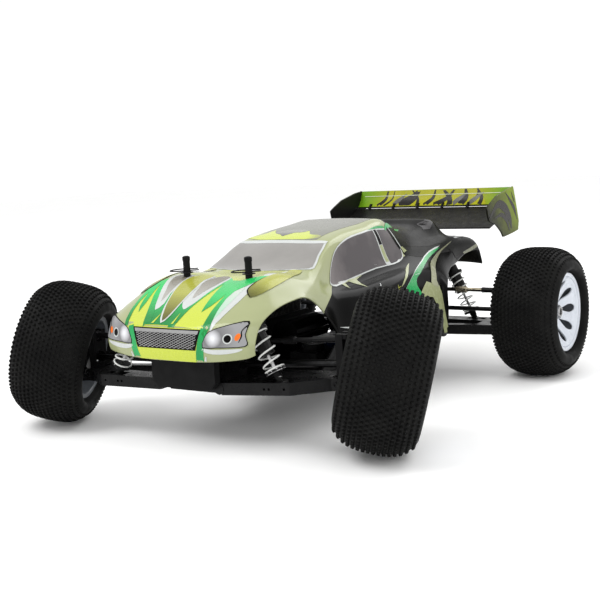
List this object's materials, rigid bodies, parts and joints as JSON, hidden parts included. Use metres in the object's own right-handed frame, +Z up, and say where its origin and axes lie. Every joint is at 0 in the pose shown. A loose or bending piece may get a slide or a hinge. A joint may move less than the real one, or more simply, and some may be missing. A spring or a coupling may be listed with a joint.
{
  "type": "rc buggy",
  "caption": "Off-road RC truggy with painted shell, rear wing, pin-studded tyres, coil-over wishbone suspension, linked steering and shaft drive.",
  "frame": {"origin": "on the ground, under the middle of the model's bounding box", "axes": "+Z up; the front of the car faces -Y; the car's left side is +X"},
  "size_m": [0.4865, 0.573, 0.2048],
  "materials": {
    "shell": "glossy painted shell",
    "wing": "semi-gloss moulded, printed film",
    "tyre": "matte",
    "rim": "glossy moulded",
    "nylon": "moulded, satin",
    "dark_alloy": "dark anodised, satin",
    "steel": "bright",
    "spring": "coated wire",
    "battery": "heat-shrink wrap"
  },
  "bodies": {
    "chassis": {"chassis_plate": "dark_alloy", "mud_guard_tray": "nylon", "front_bumper": "nylon", "front_gearbox": "nylon", "rear_gearbox": "nylon", "front_shock_tower": "nylon", "rear_shock_tower": "nylon", "steering_servo": "nylon", "motor": "dark_alloy", "battery_pack": "battery", "speed_controller": "nylon", "body_shell": "shell", "wing_mount": "nylon", "rear_wing": "wing"},
    "saver": {"servo_saver": "nylon"},
    "link": {"steering_link": "dark_alloy"},
    "rod_left": {"tie_rod_left": "steel"},
    "rod_right": {"tie_rod_right": "steel"},
    "spur": {"spur_gear": "dark_alloy"},
    "pinion": {"pinion_gear": "steel"},
    "prop_front": {"front_driveshaft": "steel"},
    "prop_rear": {"rear_driveshaft": "steel"},
    "arm_front_left": {"lower_arm_front_left": "nylon"},
    "upper_front_left": {"upper_link_front_left": "nylon"},
    "shock_front_left": {"shock_body_front_left": "dark_alloy", "shock_spring_front_left": "spring"},
    "damper_front_left": {"shock_shaft_front_left": "steel"},
    "dogbone_front_left": {"axle_shaft_front_left": "steel"},
    "carrier_front_left": {"hub_front_left": "nylon"},
    "wheel_front_left": {"tyre_front_left": "tyre", "rim_front_left": "rim"},
    "knuckle_front_left": {"steering_knuckle_front_left": "nylon"},
    "arm_front_right": {"lower_arm_front_right": "nylon"},
    "upper_front_right": {"upper_link_front_right": "nylon"},
    "shock_front_right": {"shock_body_front_right": "dark_alloy", "shock_spring_front_right": "spring"},
    "damper_front_right": {"shock_shaft_front_right": "steel"},
    "dogbone_front_right": {"axle_shaft_front_right": "steel"},
    "carrier_front_right": {"hub_front_right": "nylon"},
    "wheel_front_right": {"tyre_front_right": "tyre", "rim_front_right": "rim"},
    "knuckle_front_right": {"steering_knuckle_front_right": "nylon"},
    "arm_rear_left": {"lower_arm_rear_left": "nylon"},
    "upper_rear_left": {"upper_link_rear_left": "nylon"},
    "shock_rear_left": {"shock_body_rear_left": "dark_alloy", "shock_spring_rear_left": "spring"},
    "damper_rear_left": {"shock_shaft_rear_left": "steel"},
    "dogbone_rear_left": {"axle_shaft_rear_left": "steel"},
    "carrier_rear_left": {"hub_rear_left": "nylon"},
    "wheel_rear_left": {"tyre_rear_left": "tyre", "rim_rear_left": "rim"},
    "arm_rear_right": {"lower_arm_rear_right": "nylon"},
    "upper_rear_right": {"upper_link_rear_right": "nylon"},
    "shock_rear_right": {"shock_body_rear_right": "dark_alloy", "shock_spring_rear_right": "spring"},
    "damper_rear_right": {"shock_shaft_rear_right": "steel"},
    "dogbone_rear_right": {"axle_shaft_rear_right": "steel"},
    "carrier_rear_right": {"hub_rear_right": "nylon"},
    "wheel_rear_right": {"tyre_rear_right": "tyre", "rim_rear_right": "rim"}
  },
  "joints": [
    {"name": "servo_swing", "type": "hinge", "parent": "chassis", "child": "saver", "pos_m": [-0.03, -0.136, 0.064], "axis": [0, 0, 1], "range_deg": [-1, 40.5]},
    {"name": "link_slide", "type": "slide", "parent": "chassis", "child": "link", "axis": [1, 0, 0], "range_m": [-0.00052, 0.02089]},
    {"name": "arm_front_left_pivot", "type": "hinge", "parent": "chassis", "child": "arm_front_left", "pos_m": [0.034, -0.205, 0.056], "axis": [0, -1, 0], "range_deg": [-14.1, 9.9], "stiffness_Nm_per_rad": 8, "springref_deg": -10.89},
    {"name": "carrier_front_left_pivot", "type": "hinge", "parent": "arm_front_left", "child": "carrier_front_left", "pos_m": [0.14522, -0.205, 0.06397], "axis": [0, -1, 0], "range_deg": [-9.95, 14.15]},
    {"name": "upper_front_left_pivot", "type": "hinge", "parent": "chassis", "child": "upper_front_left", "pos_m": [0.034, -0.205, 0.093], "axis": [0, -1, 0], "range_deg": [-14.15, 9.95]},
    {"name": "shock_front_left_pivot", "type": "hinge", "parent": "chassis", "child": "shock_front_left", "pos_m": [0.066, -0.2292, 0.12], "axis": [0, -1, 0], "range_deg": [-5.16, 3.62]},
    {"name": "shock_front_left_stroke", "type": "slide", "parent": "shock_front_left", "child": "damper_front_left", "axis": [-0.462, 0, 0.8869], "range_m": [-0.01423, 0.00999], "deforming": ["shock_spring_front_left"]},
    {"name": "dogbone_front_left_pivot", "type": "hinge", "parent": "chassis", "child": "dogbone_front_left", "pos_m": [0.03, -0.205, 0.071], "axis": [0, -1, 0], "range_deg": [-13.63, 9.6]},
    {"name": "knuckle_front_left_kingpin", "type": "hinge", "parent": "carrier_front_left", "child": "knuckle_front_left", "pos_m": [0.16271, -0.205, 0.07897], "axis": [0, 0.5, 0.866], "range_deg": [-56.75, 1.4]},
    {"name": "rod_left_slide", "type": "slide", "parent": "arm_front_left", "child": "rod_left", "axis": [1, 0, 0], "range_m": [-0.00052, 0.02095]},
    {"name": "wheel_front_left_spin", "type": "hinge", "parent": "knuckle_front_left", "child": "wheel_front_left", "pos_m": [0.18196, -0.19576, 0.07364], "axis": [0.8746, 0.4199, -0.2424], "continuous": true},
    {"name": "arm_front_right_pivot", "type": "hinge", "parent": "chassis", "child": "arm_front_right", "pos_m": [-0.034, -0.205, 0.056], "axis": [0, 1, 0], "range_deg": [-8.6, 15.4], "stiffness_Nm_per_rad": 8, "springref_deg": -10.89},
    {"name": "carrier_front_right_pivot", "type": "hinge", "parent": "arm_front_right", "child": "carrier_front_right", "pos_m": [-0.14547, -0.205, 0.05328], "axis": [0, 1, 0], "range_deg": [-15.45, 8.65]},
    {"name": "upper_front_right_pivot", "type": "hinge", "parent": "chassis", "child": "upper_front_right", "pos_m": [-0.034, -0.205, 0.093], "axis": [0, 1, 0], "range_deg": [-8.65, 15.45]},
    {"name": "shock_front_right_pivot", "type": "hinge", "parent": "chassis", "child": "shock_front_right", "pos_m": [-0.066, -0.2292, 0.12], "axis": [0, 1, 0], "range_deg": [-3.14, 5.62]},
    {"name": "shock_front_right_stroke", "type": "slide", "parent": "shock_front_right", "child": "damper_front_right", "axis": [0.4303, 0, 0.9027], "range_m": [-0.00867, 0.01552], "deforming": ["shock_spring_front_right"]},
    {"name": "dogbone_front_right_pivot", "type": "hinge", "parent": "chassis", "child": "dogbone_front_right", "pos_m": [-0.03, -0.205, 0.071], "axis": [0, 1, 0], "range_deg": [-8.35, 14.88]},
    {"name": "knuckle_front_right_kingpin", "type": "hinge", "parent": "carrier_front_right", "child": "knuckle_front_right", "pos_m": [-0.16297, -0.205, 0.06828], "axis": [0, 0.5, 0.866], "range_deg": [-56.75, 1.4]},
    {"name": "rod_right_slide", "type": "slide", "parent": "arm_front_right", "child": "rod_right", "axis": [1, 0, 0], "range_m": [-0.00052, 0.02095]},
    {"name": "wheel_front_right_spin", "type": "hinge", "parent": "knuckle_front_right", "child": "wheel_front_right", "pos_m": [-0.18221, -0.21424, 0.07361], "axis": [-0.8746, -0.4199, 0.2424], "continuous": true},
    {"name": "arm_rear_left_pivot", "type": "hinge", "parent": "chassis", "child": "arm_rear_left", "pos_m": [0.034, 0.152, 0.05], "axis": [0, -1, 0], "range_deg": [-10, 14], "stiffness_Nm_per_rad": 8, "springref_deg": -10.89},
    {"name": "carrier_rear_left_pivot", "type": "hinge", "parent": "arm_rear_left", "child": "carrier_rear_left", "pos_m": [0.1455, 0.152, 0.05], "axis": [0, -1, 0], "range_deg": [-14.05, 10.05]},
    {"name": "upper_rear_left_pivot", "type": "hinge", "parent": "chassis", "child": "upper_rear_left", "pos_m": [0.034, 0.152, 0.093], "axis": [0, -1, 0], "range_deg": [-10.05, 14.05]},
    {"name": "shock_rear_left_pivot", "type": "hinge", "parent": "chassis", "child": "shock_rear_left", "pos_m": [0.064, 0.1762, 0.119], "axis": [0, -1, 0], "range_deg": [-3.33, 4.66]},
    {"name": "shock_rear_left_stroke", "type": "slide", "parent": "shock_rear_left", "child": "damper_rear_left", "axis": [-0.4338, 0, 0.901], "range_m": [-0.01011, 0.01415], "deforming": ["shock_spring_rear_left"]},
    {"name": "dogbone_rear_left_pivot", "type": "hinge", "parent": "chassis", "child": "dogbone_rear_left", "pos_m": [0.03, 0.152, 0.071], "axis": [0, -1, 0], "range_deg": [-9.7, 13.54]},
    {"name": "wheel_rear_left_spin", "type": "hinge", "parent": "carrier_rear_left", "child": "wheel_rear_left", "pos_m": [0.185, 0.152, 0.071], "axis": [1, 0, 0], "continuous": true},
    {"name": "arm_rear_right_pivot", "type": "hinge", "parent": "chassis", "child": "arm_rear_right", "pos_m": [-0.034, 0.152, 0.05], "axis": [0, 1, 0], "range_deg": [-10, 14], "stiffness_Nm_per_rad": 8, "springref_deg": -10.89},
    {"name": "carrier_rear_right_pivot", "type": "hinge", "parent": "arm_rear_right", "child": "carrier_rear_right", "pos_m": [-0.1455, 0.152, 0.05], "axis": [0, 1, 0], "range_deg": [-14.05, 10.05]},
    {"name": "upper_rear_right_pivot", "type": "hinge", "parent": "chassis", "child": "upper_rear_right", "pos_m": [-0.034, 0.152, 0.093], "axis": [0, 1, 0], "range_deg": [-10.05, 14.05]},
    {"name": "shock_rear_right_pivot", "type": "hinge", "parent": "chassis", "child": "shock_rear_right", "pos_m": [-0.064, 0.1762, 0.119], "axis": [0, 1, 0], "range_deg": [-3.33, 4.66]},
    {"name": "shock_rear_right_stroke", "type": "slide", "parent": "shock_rear_right", "child": "damper_rear_right", "axis": [0.4338, 0, 0.901], "range_m": [-0.01011, 0.01415], "deforming": ["shock_spring_rear_right"]},
    {"name": "dogbone_rear_right_pivot", "type": "hinge", "parent": "chassis", "child": "dogbone_rear_right", "pos_m": [-0.03, 0.152, 0.071], "axis": [0, 1, 0], "range_deg": [-9.7, 13.54]},
    {"name": "wheel_rear_right_spin", "type": "hinge", "parent": "carrier_rear_right", "child": "wheel_rear_right", "pos_m": [-0.185, 0.152, 0.071], "axis": [-1, 0, 0], "continuous": true},
    {"name": "spur_spin", "type": "hinge", "parent": "chassis", "child": "spur", "pos_m": [0, 0.03, 0.071], "axis": [0, 1, 0], "continuous": true},
    {"name": "pinion_spin", "type": "hinge", "parent": "chassis", "child": "pinion", "pos_m": [-0.02662, 0.03, 0.0665], "axis": [0, 1, 0], "continuous": true},
    {"name": "prop_front_spin", "type": "hinge", "parent": "chassis", "child": "prop_front", "pos_m": [0, -0.184, 0.071], "axis": [0, 1, 0], "continuous": true},
    {"name": "prop_rear_spin", "type": "hinge", "parent": "chassis", "child": "prop_rear", "pos_m": [0, 0.0433, 0.071], "axis": [0, 1, 0], "continuous": true}
  ],
  "couplings": [
    {"joint": "link_slide", "follows": "servo_swing", "m_per_rad": 0.029488},
    {"joint": "carrier_front_left_pivot", "follows": "arm_front_left_pivot", "ratio": -1},
    {"joint": "upper_front_left_pivot", "follows": "arm_front_left_pivot", "ratio": 1},
    {"joint": "shock_front_left_pivot", "follows": "arm_front_left_pivot", "ratio": 0.36239},
    {"joint": "shock_front_left_stroke", "follows": "arm_front_left_pivot", "m_per_rad": 0.057255},
    {"joint": "dogbone_front_left_pivot", "follows": "arm_front_left_pivot", "ratio": 0.96},
    {"joint": "knuckle_front_left_kingpin", "follows": "servo_swing", "ratio": -1.3942},
    {"joint": "rod_left_slide", "follows": "servo_swing", "m_per_rad": 0.029488},
    {"joint": "carrier_front_right_pivot", "follows": "arm_front_right_pivot", "ratio": -1},
    {"joint": "upper_front_right_pivot", "follows": "arm_front_right_pivot", "ratio": 1},
    {"joint": "shock_front_right_pivot", "follows": "arm_front_right_pivot", "ratio": 0.36105},
    {"joint": "shock_front_right_stroke", "follows": "arm_front_right_pivot", "m_per_rad": 0.057165},
    {"joint": "dogbone_front_right_pivot", "follows": "arm_front_right_pivot", "ratio": 0.96},
    {"joint": "knuckle_front_right_kingpin", "follows": "servo_swing", "ratio": -1.3942},
    {"joint": "rod_right_slide", "follows": "servo_swing", "m_per_rad": 0.029488},
    {"joint": "carrier_rear_left_pivot", "follows": "arm_rear_left_pivot", "ratio": -1},
    {"joint": "upper_rear_left_pivot", "follows": "arm_rear_left_pivot", "ratio": 1},
    {"joint": "shock_rear_left_pivot", "follows": "arm_rear_left_pivot", "ratio": 0.32948},
    {"joint": "shock_rear_left_stroke", "follows": "arm_rear_left_pivot", "m_per_rad": 0.057356},
    {"joint": "dogbone_rear_left_pivot", "follows": "arm_rear_left_pivot", "ratio": 0.96},
    {"joint": "carrier_rear_right_pivot", "follows": "arm_rear_right_pivot", "ratio": -1},
    {"joint": "upper_rear_right_pivot", "follows": "arm_rear_right_pivot", "ratio": 1},
    {"joint": "shock_rear_right_pivot", "follows": "arm_rear_right_pivot", "ratio": 0.32948},
    {"joint": "shock_rear_right_stroke", "follows": "arm_rear_right_pivot", "m_per_rad": 0.057356},
    {"joint": "dogbone_rear_right_pivot", "follows": "arm_rear_right_pivot", "ratio": 0.96},
    {"joint": "pinion_spin", "follows": "spur_spin", "ratio": -2.8571},
    {"joint": "prop_front_spin", "follows": "spur_spin", "ratio": 1},
    {"joint": "prop_rear_spin", "follows": "spur_spin", "ratio": 1}
  ]
}
